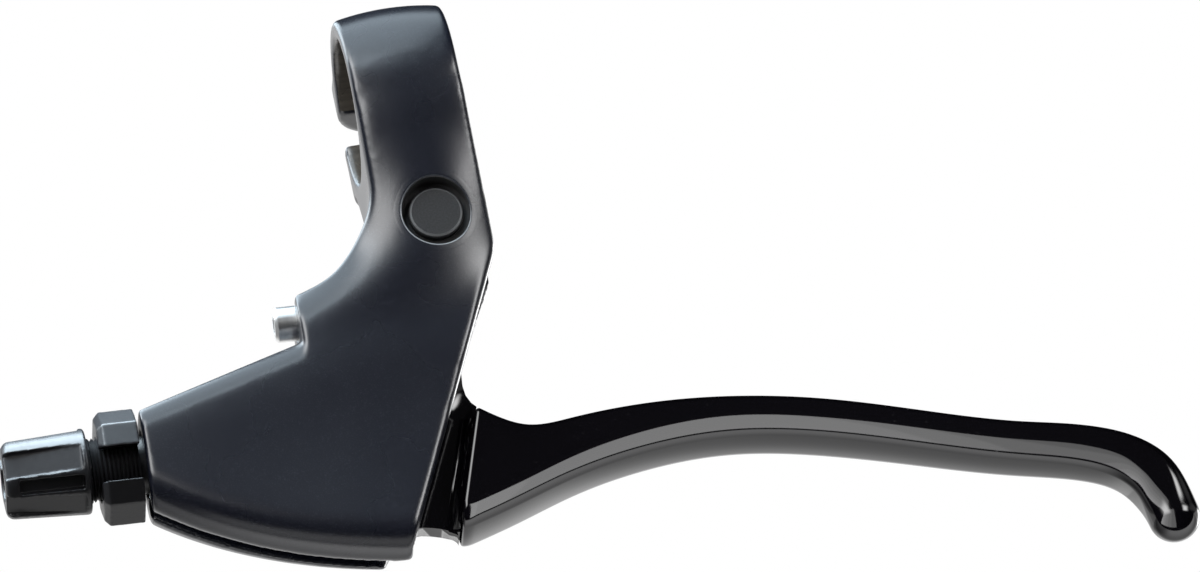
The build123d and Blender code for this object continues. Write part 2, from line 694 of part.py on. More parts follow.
# Barrel adjuster: fluted knob on a hollow screw, slotted along one side to let the cable in
with BuildPart() as barrel_adjuster:
    with BuildSketch(cable_profile):
        with BuildLine():
            Polyline(
                (adjuster_end_gap - adjuster_engagement, 0),
                (adjuster_end_gap - adjuster_engagement, adjuster_thread_diameter / 2),
                (knob_start, adjuster_thread_diameter / 2),
                (knob_start, knob_inner_radius),
                (knob_start + knob_length, knob_outer_radius),
                (knob_start + knob_length, 0),
                close=True,
            )
        make_face()
    revolve(axis=cable_axis)
    fillet(barrel_adjuster.edges().filter_by(GeomType.CIRCLE).sort_by(Axis.X)[0], knob_end_round)
    fillet(barrel_adjuster.edges().filter_by(GeomType.CIRCLE).sort_by(SortBy.RADIUS)[-1], knob_rim_round)

    # Flat flutes that deepen to the outer end and run out there
    for flute in range(flute_count):
        turn = flute_turn + flute * 360 / flute_count
        flute_side = Vector(0, -1, 0).rotate(Axis((0, 0, 0), cable_out), turn)
        with BuildSketch(Plane(origin=cable_start, x_dir=cable_out, z_dir=cable_out.cross(flute_side))):
            with BuildLine():
                Polyline(
                    (knob_start + knob_rim, flute_floor_inner),
                    (knob_start + knob_length, flute_floor_outer),
                    (knob_start + knob_length, knob_inner_radius),
                    (knob_start + knob_rim, knob_inner_radius),
                    close=True,
                )
            make_face()
        extrude(amount=flute_width / 2, both=True, mode=Mode.SUBTRACT)

    # Closed groove in the land that faces the rider
    with BuildSketch(cable_plane.offset(knob_start + knob_rim)):
        with PolarLocations(mark_floor + knob_inner_radius / 2, 1, flute_turn - 180 / flute_count):
            Rectangle(knob_inner_radius, mark_width)
    extrude(amount=knob_length - knob_rim - mark_end, mode=Mode.SUBTRACT)

    # Seat of the cable housing, and the hole and slot of the cable
    with BuildSketch(cable_plane.offset(knob_start + knob_length)):
        Circle(housing_diameter / 2)
    extrude(amount=-housing_depth, mode=Mode.SUBTRACT)
    with BuildSketch(cable_plane.offset(knob_start + knob_length)):
        Circle(cable_hole_diameter / 2)
        with PolarLocations(knob_inner_radius, 1, flute_turn + 540 / flute_count):
            Rectangle(2 * knob_inner_radius, adjuster_slot)
    extrude(amount=-far, mode=Mode.SUBTRACT)

barrel_adjuster.part.label = "barrel_adjuster"
export_step(barrel_adjuster.part, "parts/barrel_adjuster.step")

# Lock nut: faceted nut on the adjuster's thread, open on one side for the cable
with BuildPart() as adjuster_lock_nut:
    with BuildSketch(nut_plane):
        RegularPolygon(lock_nut_radius, lock_nut_sides)
    extrude(amount=lock_nut_length)
    chamfer(adjuster_lock_nut.faces().sort_by(Axis.X)[0].edges(), lock_nut_chamfer)
    with BuildSketch(nut_plane):
        Circle(adjuster_thread_diameter / 2 + adjuster_running_gap)
        with Locations((lock_nut_radius, 0)):
            Rectangle(2 * lock_nut_radius, lock_nut_slot)
    extrude(amount=lock_nut_length, mode=Mode.SUBTRACT)

adjuster_lock_nut.part.label = "adjuster_lock_nut"
export_step(adjuster_lock_nut.part, "parts/adjuster_lock_nut.step")
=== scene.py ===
from math import cos, pi, radians, sin

import bmesh
import bpy
import numpy as np
from mathutils import Matrix, Vector


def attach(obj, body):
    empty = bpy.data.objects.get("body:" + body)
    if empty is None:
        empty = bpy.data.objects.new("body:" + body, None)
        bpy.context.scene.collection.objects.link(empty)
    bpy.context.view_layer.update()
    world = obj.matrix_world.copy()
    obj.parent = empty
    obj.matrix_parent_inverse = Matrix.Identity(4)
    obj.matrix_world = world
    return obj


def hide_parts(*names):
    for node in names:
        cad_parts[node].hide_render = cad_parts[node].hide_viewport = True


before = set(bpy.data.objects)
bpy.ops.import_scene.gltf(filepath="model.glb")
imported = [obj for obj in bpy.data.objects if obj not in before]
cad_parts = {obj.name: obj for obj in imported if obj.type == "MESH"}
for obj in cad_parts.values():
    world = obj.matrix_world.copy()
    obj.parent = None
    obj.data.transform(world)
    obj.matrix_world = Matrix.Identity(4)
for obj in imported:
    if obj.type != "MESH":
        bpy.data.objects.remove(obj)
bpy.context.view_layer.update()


# Bracket: one aluminium die casting with the clamp band, the neck and the cable arm.
# It is sprayed in a satin blue-black paint with a fine sparkle; the bore stays bare and stained.
# Its edges are soft, and the rim of the axle's recess has a painted highlight: a thin bright line,
# strongest on its low side, where light from above would catch it.
MM = 0.001
WELD = 0.002 * MM
SMOOTHING = 0.5
SHARP_EDGE = radians(40.0)
PIVOT = Vector((0.8, 0.0, -23.0)) * MM
BORE_RADIUS = 11.1 * MM
BORE_MARGIN = 0.15 * MM
RECESS_MOUTH = 5.2 * MM
RECESS_FRONT = -6.0 * MM
BRIGHT_LINE = (5.2 * MM, 5.28 * MM), (5.4 * MM, 5.48 * MM)
BRIGHT_SIDE = -5.0 * MM, 5.5 * MM
SLATE_DARK = (0.0022, 0.0030, 0.0070)
SLATE_PALE = (0.0032, 0.0040, 0.0086)
SPARKLE = (0.075, 0.08, 0.1)
STAIN_DARK = (0.012, 0.010, 0.008)
STAIN_PALE = (0.07, 0.06, 0.048)
STAIN_STREAKS = (40.0, 1400.0, 1400.0)
# Painted shade: the axle's recess is painted black, standing in for the shade that falls in it.
RECESS_PAINTED_SHADE = (0.003, 0.003, 0.0035)
# Painted highlight for the rim of the axle's recess.
RIM_PAINTED_HIGHLIGHT = (0.2, 0.21, 0.22)


class Shade:
    """A socket in one material's node tree; arithmetic on it adds Math nodes."""

    def __init__(self, tree, socket=None):
        self.tree = tree
        self.socket = socket

    def node(self, kind, settings=None, inputs=None, output=0):
        """One output of a new node: its type, its settings, and values or links for its sockets."""
        made = self.tree.nodes.new(kind)
        for key, value in (settings or {}).items():
            setattr(made, key, value)
        for key, value in (inputs or {}).items():
            self.feed(made.inputs[key], value)
        return Shade(self.tree, made.outputs[output])

    def feed(self, socket, value):
        if isinstance(value, Shade):
            self.tree.links.new(value.socket, socket)
        elif socket.type == "RGBA" and len(value) == 3:
            socket.default_value = (*value, 1.0)
        else:
            socket.default_value = value

    def math(self, operation, first, second):
        return self.node("ShaderNodeMath", {"operation": operation}, {0: first, 1: second})

    def __add__(self, other):
        return self.math("ADD", self, other)

    __radd__ = __add__

    def __sub__(self, other):
        return self.math("SUBTRACT", self, other)

    def __rsub__(self, other):
        return self.math("SUBTRACT", other, self)

    def __mul__(self, other):
        return self.math("MULTIPLY", self, other)

    __rmul__ = __mul__

    def __lt__(self, other):
        return self.math("LESS_THAN", self, other)

    def ease(self, low, high):
        """0 below low, 1 above high and smooth between them."""
        settings = {"interpolation_type": "SMOOTHSTEP"}
        inputs = {"Value": self, "From Min": low, "From Max": high}
        return self.node("ShaderNodeMapRange", settings, inputs)

    def tint(self, first, second):
        """A colour from first, where this is 0, to second, where it is 1."""
        settings = {"data_type": "RGBA"}
        return self.node("ShaderNodeMix", settings, {0: self, 6: first, 7: second}, 2)

    def axes(self):
        """The three coordinates of a place or a direction."""
        return [self.node("ShaderNodeSeparateXYZ", None, {0: self}, axis) for axis in "XYZ"]


def new_finish(name):
    """A new material, and its Object coordinates to start from."""
    made = bpy.data.materials.new(name)
    made.use_nodes = True
    return made, Shade(made.node_tree).node("ShaderNodeTexCoord", output="Object")


def lay(at, **looks):
    """Sets or links sockets of the finish's shader, such as base_color, and gives its output."""
    shader = at.tree.nodes["Principled BSDF"]
    for key, value in looks.items():
        at.feed(shader.inputs[key.replace("_", " ").title().replace("Ior", "IOR")], value)
    return Shade(at.tree, shader.outputs[0])


def mottle(at, scale, detail=2.0):
    return at.node("ShaderNodeTexNoise", None, {"Vector": at, "Scale": scale, "Detail": detail})


def relief(height, strength, depth):
    inputs = {"Height": height, "Strength": strength, "Distance": depth}
    return height.node("ShaderNodeBump", None, inputs)


def square(value):
    return value * value


def ring_mask(squared_reach, inner, outer):
    """1 on a ring that comes in over the inner pair of radii and goes out over the outer pair."""
    come_in = squared_reach.ease(*map(square, inner))
    return come_in * (1.0 - squared_reach.ease(*map(square, outer)))


def eased(share):
    share = min(max(share, 0.0), 1.0)
    return share * share * (3 - 2 * share)


def new_object(name, data):
    """An object in the scene with this mesh, lamp or camera."""
    made = bpy.data.objects.new(name, data)
    bpy.context.scene.collection.objects.link(made)
    return made


def welded_copy(node):
    """A copy of a solid's mesh with its loose triangles joined."""
    skin = bmesh.new()
    skin.from_mesh(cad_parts[node].data)
    bmesh.ops.remove_doubles(skin, verts=skin.verts, dist=WELD)
    return skin


def soften(skin, verts, passes):
    every_axis = {"use_axis_x": True, "use_axis_y": True, "use_axis_z": True}
    for _ in range(passes):
        bmesh.ops.smooth_vert(skin, verts=verts, factor=SMOOTHING, **every_axis)


def rounded_copy(name, node, grid, passes):
    """A copy of a solid with every edge rounded: remade on an even grid and smoothed."""
    joined = welded_copy(node)
    plain = bpy.data.meshes.new(name)
    joined.to_mesh(plain)
    joined.free()
    piece = new_object(name, plain)
    remake = piece.modifiers.new("grid", "REMESH")
    remake.mode = "VOXEL"
    remake.voxel_size = grid
    remade = piece.evaluated_get(bpy.context.evaluated_depsgraph_get())
    even = bpy.data.meshes.new_from_object(remade)
    piece.modifiers.clear()
    skin = bmesh.new()
    skin.from_mesh(even)
    soften(skin, skin.verts, passes)
    return piece, skin


def join_rows(skin, rows):
    """Faces between rows of points, from each row to the next."""
    for row, following in zip(rows, rows[1:]):
        for i in range(len(row) - 1):
            skin.faces.new((row[i], row[i + 1], following[i + 1], following[i]))


def fit_piece(piece, skin, made, body, node):
    """Gives a piece its mesh, smooth and in one finish, and puts it in the node's stead."""
    for face in skin.faces:
        face.smooth = True
        face.material_index = 0
    mesh = bpy.data.meshes.new(piece.name)
    skin.to_mesh(mesh)
    skin.free()
    mesh.materials.append(made)
    mesh.set_sharp_from_angle(angle=SHARP_EDGE)
    piece.data = mesh
    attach(piece, body)
    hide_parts(node)


paint, at = new_finish("bracket_paint")
x, y, z = at.axes()
cloud = mottle(at, 60.0, 3.0)
sparkle = mottle(at, 5200.0, 1.0).ease(0.5, 0.8)
slate = (sparkle * 0.2).tint(cloud.tint(SLATE_DARK, SLATE_PALE), SPARKLE)
streaks = at.node("ShaderNodeMapping", None, {"Vector": at, "Scale": STAIN_STREAKS})
stain = mottle(streaks, 1.0, 3.0).tint(STAIN_DARK, STAIN_PALE)
in_bore = square(y) + square(z) < square(BORE_RADIUS + BORE_MARGIN)
from_pivot = square(x - PIVOT.x) + square(z - PIVOT.z)
at_front = y < RECESS_FRONT
# Painted shade: inside the axle's recess the paint is made black and dull, standing in for the
# shade there.
in_recess = (from_pivot < square(RECESS_MOUTH)) * at_front
# Painted highlight: a thin bright ring painted on the recess rim, faint all round and strongest on
# its low side, where the rim would catch light from above.
low_side = ((PIVOT.x - x) * 0.5 + (PIVOT.z - z)).ease(*BRIGHT_SIDE)
rim_highlight = ring_mask(from_pivot, *BRIGHT_LINE) * at_front * (0.12 + low_side * 0.88)
colour = in_recess.tint(in_bore.tint(slate, stain), RECESS_PAINTED_SHADE)
lay(
    at,
    base_color=rim_highlight.tint(colour, RIM_PAINTED_HIGHLIGHT),
    roughness=0.25 + cloud * 0.05 + in_recess * 0.6,
    normal=relief(mottle(at, 2600.0), 0.12, 0.05 * MM),
    specular_ior_level=0.75,
)

# Casting: soft at every edge, and softer still where the band goes over into the neck
CASTING_GRID = 0.4 * MM
CASTING_PASSES = 5
NECK_FRONT = -5.0
NECK_LOW = -13.0
NECK_HIGH = 4.0
NECK_HALF = 7.4
NECK_BLENDS = (8, 0.0), (12, 0.8), (20, 1.6), (20, 2.4)

casting, skin = rounded_copy("bracket_casting", "bracket", CASTING_GRID, CASTING_PASSES)
for passes, margin in NECK_BLENDS:
    neck = []
    for vert in skin.verts:
        spot = vert.co / MM
        between = NECK_LOW + margin < spot.z < NECK_HIGH - margin
        if between and spot.y < NECK_FRONT and abs(spot.x) < NECK_HALF - margin:
            neck.append(vert)
    soften(skin, neck, passes)

# Face round the recess: a surface fitted to the casting just outside it, in mm from the pivot
RECESS_FLOOR = -8.5
FACE_START = RECESS_FLOOR - 0.3
FACE_ORDER = 4
FACE_OUTWARD = -0.9
FIT_INSIDE = 6.2
FIT_OUTSIDE = 7.6
SUNK_RADIUS = 5.75
SUNK_DEPTH = 0.25
BLEND_INSIDE = 6.1
BLEND_OUTSIDE = 7.0


def powers(across, upward):
    terms = FACE_ORDER + 1
    return [across ** i * upward ** j for i in range(terms) for j in range(terms - i)]


skin.normal_update()
cast_verts = skin.verts[:]
spots, levels = [], []
for vert in cast_verts:
    away = (vert.co - PIVOT) / MM
    on_face = away.y < FACE_START and vert.normal.y < FACE_OUTWARD
    if on_face and FIT_INSIDE < np.hypot(away.x, away.z) < FIT_OUTSIDE:
        spots.append(powers(away.x, away.z))
        levels.append(away.y)
face_fit = np.linalg.lstsq(np.array(spots), np.array(levels), rcond=None)[0]


def face_level(across, upward):
    return np.dot(face_fit, powers(across, upward))


for vert in cast_verts:
    away = (vert.co - PIVOT) / MM
    reach = np.hypot(away.x, away.z)
    if reach < BLEND_OUTSIDE and away.y < FACE_START:
        level = face_level(away.x, away.z)
        if reach < SUNK_RADIUS:
            away.y = max(away.y, level + SUNK_DEPTH)
        else:
            share = eased((reach - BLEND_INSIDE) / (BLEND_OUTSIDE - BLEND_INSIDE))
            away.y = level + (away.y - level) * share
        vert.co = PIVOT + away * MM

# Rim of the recess: a ring laid on that face, turned over a small round into the wall
RIM_STEPS = 120
RIM_RADIUS = 5.15
RIM_ROUND = 0.35
ROUND_PARTS = 6
RIM_OUTSIDE = 6.45
RIM_FLATS = 6.3, 6.0, 5.75
RIM_TUCK = 0.004
RIM_PROUD = 0.006

profile = [(RIM_OUTSIDE, RIM_TUCK)] + [(reach, -RIM_PROUD) for reach in RIM_FLATS]
for part in range(ROUND_PARTS + 1):
    bend = radians(90.0 / ROUND_PARTS * part)
    reach, depth = RIM_RADIUS + RIM_ROUND * (1 - sin(bend)), RIM_ROUND * (1 - cos(bend))
    profile.append((reach, depth - RIM_PROUD))
spokes = []
for step in range(RIM_STEPS):
    turn = 2 * pi * step / RIM_STEPS
    spoke = []
    for reach, depth in profile:
        across, upward = reach * cos(turn), reach * sin(turn)
        level = face_level(across, upward) + depth
        spoke.append(skin.verts.new(PIVOT + Vector((across, level, upward)) * MM))
    foot = Vector((RIM_RADIUS * cos(turn), RECESS_FLOOR, RIM_RADIUS * sin(turn)))
    spoke.append(skin.verts.new(PIVOT + foot * MM))
    spokes.append(spoke)
join_rows(skin, spokes + spokes[:1])
fit_piece(casting, skin, paint, "bracket_body", "bracket")


# Clamp bolt with its washer, and the pivot's screw with its washer: steel, rolled and stamped.
# They are zinc-plated, which leaves them a little cloudy. The bolt draws the clamp's ears together,
# and the screw closes the axle from behind.
ZINC_DARK = (0.32, 0.33, 0.35)
ZINC_PALE = (0.5, 0.51, 0.53)


def clouded(name, scale, dark, pale, smoothest, spread, **looks):
    """A finish with a faint cloud in its colour and in its gloss."""
    made, at = new_finish(name)
    cloud = mottle(at, scale, 3.0)
    lay(at, base_color=cloud.tint(dark, pale), roughness=smoothest + cloud * spread, **looks)
    return made, at


def dress(made, *nodes):
    """Gives solids that keep their CAD mesh their finish."""
    for name in nodes:
        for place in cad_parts[name].material_slots:
            place.material = made


plating, at = clouded("zinc_plating", 500.0, ZINC_DARK, ZINC_PALE, 0.26, 0.16, metallic=1.0)
lay(at, normal=relief(mottle(at, 4000.0), 0.08, 0.03 * MM))
dress(plating, "clamp_bolt", "clamp_washer", "pivot_screw", "pivot_washer")


# Pivot axle: a turned steel pin with a round head in the bracket's front recess.
# The head's face is coated and grained, and its bevel is rubbed bright.
BEVEL = (3.66 * MM, 3.74 * MM), (3.9 * MM, 4.02 * MM)
COATING_DARK = (0.003, 0.003, 0.004)
COATING_PALE = (0.014, 0.0145, 0.016)
BEVEL_BRIGHT = (0.3, 0.31, 0.32)

coating, at = new_finish("axle_coating")
x, _, z = at.axes()
bevel = ring_mask(square(x - PIVOT.x) + square(z - PIVOT.z), *BEVEL)
grain = mottle(at, 3600.0)
face = grain.ease(0.3, 0.75).tint(COATING_DARK, COATING_PALE)
lay(
    at,
    base_color=(bevel * 0.8).tint(face, BEVEL_BRIGHT),
    metallic=bevel * 0.6,
    roughness=0.52 - bevel * 0.2,
    normal=relief(grain, 0.5, 0.12 * MM),
)
dress(coating, "pivot_axle")


# Bushes: two flanged sleeves, moulded from a pale bearing plastic.
# They are pressed into the two sides of the knuckle and turn on the pivot axle.
ACETAL_DARK = (0.62, 0.6, 0.55)
ACETAL_PALE = (0.74, 0.72, 0.67)

acetal, at = clouded("bush_acetal", 300.0, ACETAL_DARK, ACETAL_PALE, 0.42, 0.1)
dress(acetal, "bush_front", "bush_back")


# Lever: blade, web, arm and knuckle, forged in one piece from aluminium.
# It is dipped in a deep gloss black enamel, which has a faint ripple and a little dust in it.
ENAMEL_DARK = (0.0008, 0.0007, 0.0012)
ENAMEL_PALE = (0.0016, 0.0014, 0.0022)
DUST = (0.05, 0.05, 0.055)

enamel, at = new_finish("lever_enamel")
dust = mottle(at, 1500.0, 1.0).ease(0.74, 0.8)
cloud = mottle(at, 45.0)
lay(
    at,
    base_color=(dust * 0.1).tint(cloud.tint(ENAMEL_DARK, ENAMEL_PALE), DUST),
    roughness=0.07 + cloud * 0.05 + dust * 0.1,
    normal=relief(mottle(at, 320.0, 1.0), 0.03, 0.05 * MM),
    ior=1.6,
)

# Sections of the blade, in mm: bar-side point, finger-side point, half depth and two edge rounds
SECTIONS = (
    ((1.3, -53.7), (-4.7, -72.4), 6.4, 1.0, 2.8),
    ((8.0, -57.8), (4.6, -69.7), 6.4, 1.0, 2.8),
    ((15.0, -57.9), (13.2, -66.9), 6.3, 1.0, 2.8),
    ((25.6, -57.4), (24.8, -64.5), 6.2, 1.0, 2.8),
    ((37.8, -58.2), (37.2, -64.0), 6.1, 1.0, 2.8),
    ((51.0, -60.6), (49.6, -65.9), 6.0, 1.0, 2.6),
    ((66.0, -65.0), (64.6, -70.2), 5.8, 1.0, 2.6),
    ((81.9, -69.7), (80.5, -75.0), 5.5, 1.0, 2.6),
    ((92.8, -72.3), (91.2, -78.1), 5.2, 1.0, 2.8),
    ((99.2, -75.1), (95.6, -80.8), 4.9, 1.3, 2.8),
    ((103.9, -79.7), (97.7, -84.1), 4.5, 2.2, 2.8),
    ((106.2, -86.2), (98.5, -87.9), 3.9, 3.8, 3.8),
    ((106.6, -88.1), (98.9, -89.8), 3.9, 3.8, 3.8),
)
CORNERS = (1, 1), (-1, 1), (-1, -1), (1, -1)
CORNER_PARTS = 12
LEAST_ROUND = 0.05
FLAT_SPLITS = 0.0, 0.04, 0.5, 0.96
CROWN = 0.15
CROWN_MIDDLE = 0.6
SHOULDER_ROUND = 0.7
SHOULDER_PARTS = 6
HEEL_ROUND = 2.2
HEEL_RISE = 1.4
HEEL_PLACES = 1.0, 1.3, 1.6, 1.9, 2.2
BLADE_START = 2.7
BLADE_RINGS = 150
TIP_TURNS = range(8, 89, 8)

table = np.array([(*bar, *finger, *rest) for bar, finger, *rest in SECTIONS])
middles = (table[:, 0:2] + table[:, 2:4]) / 2
travel = np.concatenate(([0.0], np.cumsum(np.hypot(*np.diff(middles, axis=0).T))))
spans = np.diff(travel)
stiffness = np.eye(len(travel))
pull = np.zeros_like(table)
for i in range(1, len(travel) - 1):
    before, after = spans[i - 1], spans[i]
    stiffness[i, i - 1:i + 2] = before, 2 * (before + after), after
    pull[i] = 6 * ((table[i + 1] - table[i]) / after - (table[i] - table[i - 1]) / before)
bends = np.linalg.solve(stiffness, pull)


def bent(place):
    """The table's row at a place along the blade, on a natural cubic spline."""
    i = min(max(int(np.searchsorted(travel, place)) - 1, 0), len(spans) - 1)
    a = (travel[i + 1] - place) / spans[i]
    b = 1.0 - a
    sag = ((a ** 3 - a) * bends[i] + (b ** 3 - b) * bends[i + 1]) * spans[i] ** 2 / 6
    return a * table[i] + b * table[i + 1] + sag


def heeled(place):
    """The row at a place near the shoulder, with the finger-side corner turned over a round."""
    row = bent(place)
    if place < HEEL_ROUND:
        toward = (row[0:2] - row[2:4]) / np.hypot(*(row[0:2] - row[2:4]))
        row[2:4] += toward * HEEL_RISE * (1 - np.sqrt(1 - (1 - place / HEEL_ROUND) ** 2))
    return row


def section(skin, row, inset=0.0, ahead=0.0, shrink=1.0):
    """One ring of the blade: a rounded oblong with a crowned finger side, moved ahead along it."""
    bar_x, bar_z, finger_x, finger_z, half_depth, bar_round, finger_round = row
    bar, finger = Vector((bar_x, 0.0, bar_z)), Vector((finger_x, 0.0, finger_z))
    rise = bar - finger
    onward = Vector((rise.z, 0.0, -rise.x)).normalized()
    middle = (bar + finger) / 2 + onward * ahead
    deep, high = half_depth * shrink - inset, rise.length / 2 * shrink - inset
    outline = []
    for corner, (side, end) in enumerate(CORNERS):
        curve = max((bar_round if end > 0 else finger_round) * shrink - inset, LEAST_ROUND)
        for part in range(CORNER_PARTS + 1):
            angle = radians(90.0 * corner + 90.0 / CORNER_PARTS * part)
            s = side * (deep - curve) + curve * cos(angle)
            t = end * (high - curve) + curve * sin(angle)
            outline.append((s, t))
    ring = []
    for i, (s, t) in enumerate(outline):
        ends_corner = i % (CORNER_PARTS + 1) == CORNER_PARTS
        s_next, t_next = outline[(i + 1) % len(outline)]
        for split in (FLAT_SPLITS if ends_corner else FLAT_SPLITS[:1]):
            s_here, t_here = s + (s_next - s) * split, t + (t_next - t) * split
            crown = CROWN * (half_depth - finger_round) * shrink * eased(-t_here / high)
            t_here += crown * ((s_here / deep) ** 2 - CROWN_MIDDLE)
            spot = middle + rise.normalized() * t_here - Vector((0.0, s_here, 0.0))
            ring.append(skin.verts.new(spot * MM))
    return ring


forging = new_object("lever_forging", bpy.data.meshes.new("lever_forging"))
skin = welded_copy("lever_blade")
first = table[0]
rise = Vector((first[0] - first[2], 0.0, first[1] - first[3]))
bmesh.ops.bisect_plane(
    skin,
    geom=skin.verts[:] + skin.edges[:] + skin.faces[:],
    dist=0.0,
    plane_co=Vector((first[0] + first[2], 0.0, first[1] + first[3])) / 2 * MM,
    plane_no=Vector((rise.z, 0.0, -rise.x)),
    clear_outer=True,
)
rings = []
for part in range(SHOULDER_PARTS + 1):
    turn = radians(90.0 - 90.0 / SHOULDER_PARTS * part)
    row = heeled(SHOULDER_ROUND * (1 - sin(turn)))
    rings.append(section(skin, row, inset=SHOULDER_ROUND * (1 - cos(turn))))
for place in HEEL_PLACES:
    rings.append(section(skin, heeled(place)))
for place in np.linspace(BLADE_START, travel[-2], BLADE_RINGS):
    rings.append(section(skin, bent(place)))
tip = table[-2]
tip_half = np.hypot(tip[0] - tip[2], tip[1] - tip[3]) / 2
for turn in map(radians, TIP_TURNS):
    rings.append(section(skin, tip, ahead=tip_half * sin(turn), shrink=cos(turn)))
skin.faces.new(rings[0])
skin.faces.new(rings[-1])
join_rows(skin, [ring + ring[:1] for ring in rings])
bmesh.ops.recalc_face_normals(skin, faces=skin.faces)
fit_piece(forging, skin, enamel, "lever", "lever_blade")


# Return spring: hard-drawn steel wire, wound cold and left oiled and grey.
# It sits round the knuckle's boss and pushes the lever back to rest.
WIRE_DARK = (0.2, 0.2, 0.21)
WIRE_PALE = (0.34, 0.34, 0.35)

wire, at = clouded("spring_wire", 900.0, WIRE_DARK, WIRE_PALE, 0.3, 0.15, metallic=1.0)
dress(wire, "return_spring")


# Cable hook and its pin: steel, tumbled and then plated.
# The pin is pressed into the lever's fork, and the hook swivels on it.
HOOK_DARK = (0.42, 0.42, 0.43)
HOOK_PALE = (0.58, 0.58, 0.59)

hook_plating, at = clouded("hook_plating", 700.0, HOOK_DARK, HOOK_PALE, 0.3, 0.15, metallic=1.0)
lay(at, normal=relief(mottle(at, 2200.0), 0.1, 0.03 * MM))
dress(hook_plating, "cable_hook", "hook_pin")


# Reach screw: a bright stainless set screw with the lathe's marks round its end.
# It is screwed into the step of the bracket and sets where the lever rests.
STAINLESS_DARK = (0.76, 0.76, 0.76)
STAINLESS_PALE = (0.92, 0.92, 0.91)
LATHE_MARKS = (5000.0, 300.0, 300.0)

stainless, at = new_finish("reach_stainless")
marks = at.node("ShaderNodeMapping", None, {"Vector": at, "Scale": LATHE_MARKS})
marks = mottle(marks, 1.0)
lay(
    at,
    base_color=marks.tint(STAINLESS_DARK, STAINLESS_PALE),
    metallic=1.0,
    roughness=0.28 + marks * 0.16,
    normal=relief(marks, 0.1, 0.02 * MM),
)
dress(stainless, "reach_screw")


# Cable adjuster: the fluted knob with its hollow screw, and the lock nut on it.
# Both are moulded from black glass-filled plastic with a dull, finely grained skin.
# The screw's thread is open along the slot that lets the cable in.
PLASTIC_DARK = (0.005, 0.005, 0.0058)
PLASTIC_PALE = (0.008, 0.008, 0.0092)
KNOB_GRID = 0.165 * MM
NUT_GRID = 0.16 * MM
MOULDING_PASSES = 5
CABLE_START = Vector((-49.2, 0.0, -52.25)) * MM
CABLE_OUT = Vector((-cos(radians(2.9)), 0.0, sin(radians(2.9))))
KNOB_START = 8.5 * MM
KNOB_MARGIN = 0.3 * MM
THREAD_START = 0.2 * MM
THREAD_DEPTH = 0.45 * MM
THREAD_CREST = 4.86 * MM
THREAD_PITCH = 0.65 * MM
THREAD_FLANKS = 24
THREAD_STEPS = 84
CORE_MARGIN = 0.1 * MM
SLOT_TURN = 107.0
SLOT_HALF = 12.0

moulding, at = new_finish("adjuster_moulding")
grain = mottle(at, 1700.0, 3.0)
lay(
    at,
    base_color=mottle(at, 180.0).tint(PLASTIC_DARK, PLASTIC_PALE),
    roughness=0.3 + grain * 0.14,
    normal=relief(grain, 0.16, 0.06 * MM),
    specular_ior_level=0.28,
)

knob, skin = rounded_copy("adjuster_knob", "barrel_adjuster", KNOB_GRID, MOULDING_PASSES)
for vert in skin.verts:
    along = (vert.co - CABLE_START).dot(CABLE_OUT)
    outward = vert.co - CABLE_START - CABLE_OUT * along
    if along < KNOB_START - KNOB_MARGIN and outward.length > THREAD_CREST - THREAD_DEPTH:
        vert.co -= outward.normalized() * (THREAD_DEPTH + CORE_MARGIN)
slot_edge = radians(SLOT_TURN + SLOT_HALF)
slot_side = Vector((0.0, -cos(slot_edge), sin(slot_edge)))
thread = []
for half in range(THREAD_FLANKS):
    along = CABLE_OUT * (THREAD_START + half * THREAD_PITCH / 2)
    reach = THREAD_CREST - (half % 2) * THREAD_DEPTH
    thread.append(skin.verts.new(CABLE_START + along + slot_side * reach))
flanks = [skin.edges.new(pair) for pair in zip(thread, thread[1:])]
thread_turn = 360.0 - 2 * SLOT_HALF
bmesh.ops.spin(
    skin,
    geom=thread + flanks,
    cent=CABLE_START,
    axis=CABLE_OUT,
    dvec=CABLE_OUT * (THREAD_PITCH * thread_turn / 360.0 / THREAD_STEPS),
    angle=radians(thread_turn),
    steps=THREAD_STEPS,
    use_merge=False,
    use_normal_flip=False,
    use_duplicate=False,
)
bmesh.ops.recalc_face_normals(skin, faces=skin.faces)
fit_piece(knob, skin, moulding, "adjuster", "barrel_adjuster")

nut, skin = rounded_copy("lock_nut_moulding", "adjuster_lock_nut", NUT_GRID, MOULDING_PASSES)
fit_piece(nut, skin, moulding, "lock_nut", "adjuster_lock_nut")


# Studio: a pale floor well below the part, which is held in the air for the picture.
# The camera looks up at the part from under the floor, so the floor shows only from above.
FLOOR_HEIGHT = -0.45
FLOOR_SIZE = 6.0
FLOOR_DARK = (0.9, 0.9, 0.9)
FLOOR_PALE = (0.93, 0.93, 0.93)
FLOOR_GLOW = 0.85
WHITE = (1.0, 1.0, 1.0)

sweep = bmesh.new()
bmesh.ops.create_grid(sweep, x_segments=1, y_segments=1, size=FLOOR_SIZE / 2)
bmesh.ops.translate(sweep, verts=sweep.verts, vec=(0.0, 0.0, FLOOR_HEIGHT))
floor_mesh = bpy.data.meshes.new("floor")
sweep.to_mesh(floor_mesh)
sweep.free()
floor = new_object("floor", floor_mesh)
floor_paint, at = new_finish("floor_paint")
pale = lay(at, base_color=mottle(at, 30.0).tint(FLOOR_DARK, FLOOR_PALE), roughness=0.8)
white = at.node("ShaderNodeEmission", None, {"Color": WHITE})
clear = at.node("ShaderNodeBsdfTransparent")
seen = at.node("ShaderNodeLightPath", output="Is Camera Ray")
mirrored = at.node("ShaderNodeLightPath", output="Is Glossy Ray")
under = at.node("ShaderNodeNewGeometry", output="Backfacing")
hidden = at.math("MAXIMUM", under, mirrored)
top = at.node("ShaderNodeMixShader", None, {0: seen * FLOOR_GLOW, 1: pale, 2: white})
both = at.node("ShaderNodeMixShader", None, {0: hidden, 1: top, 2: clear})
at.feed(at.tree.nodes["Material Output"].inputs["Surface"], both)
floor_mesh.materials.append(floor_paint)


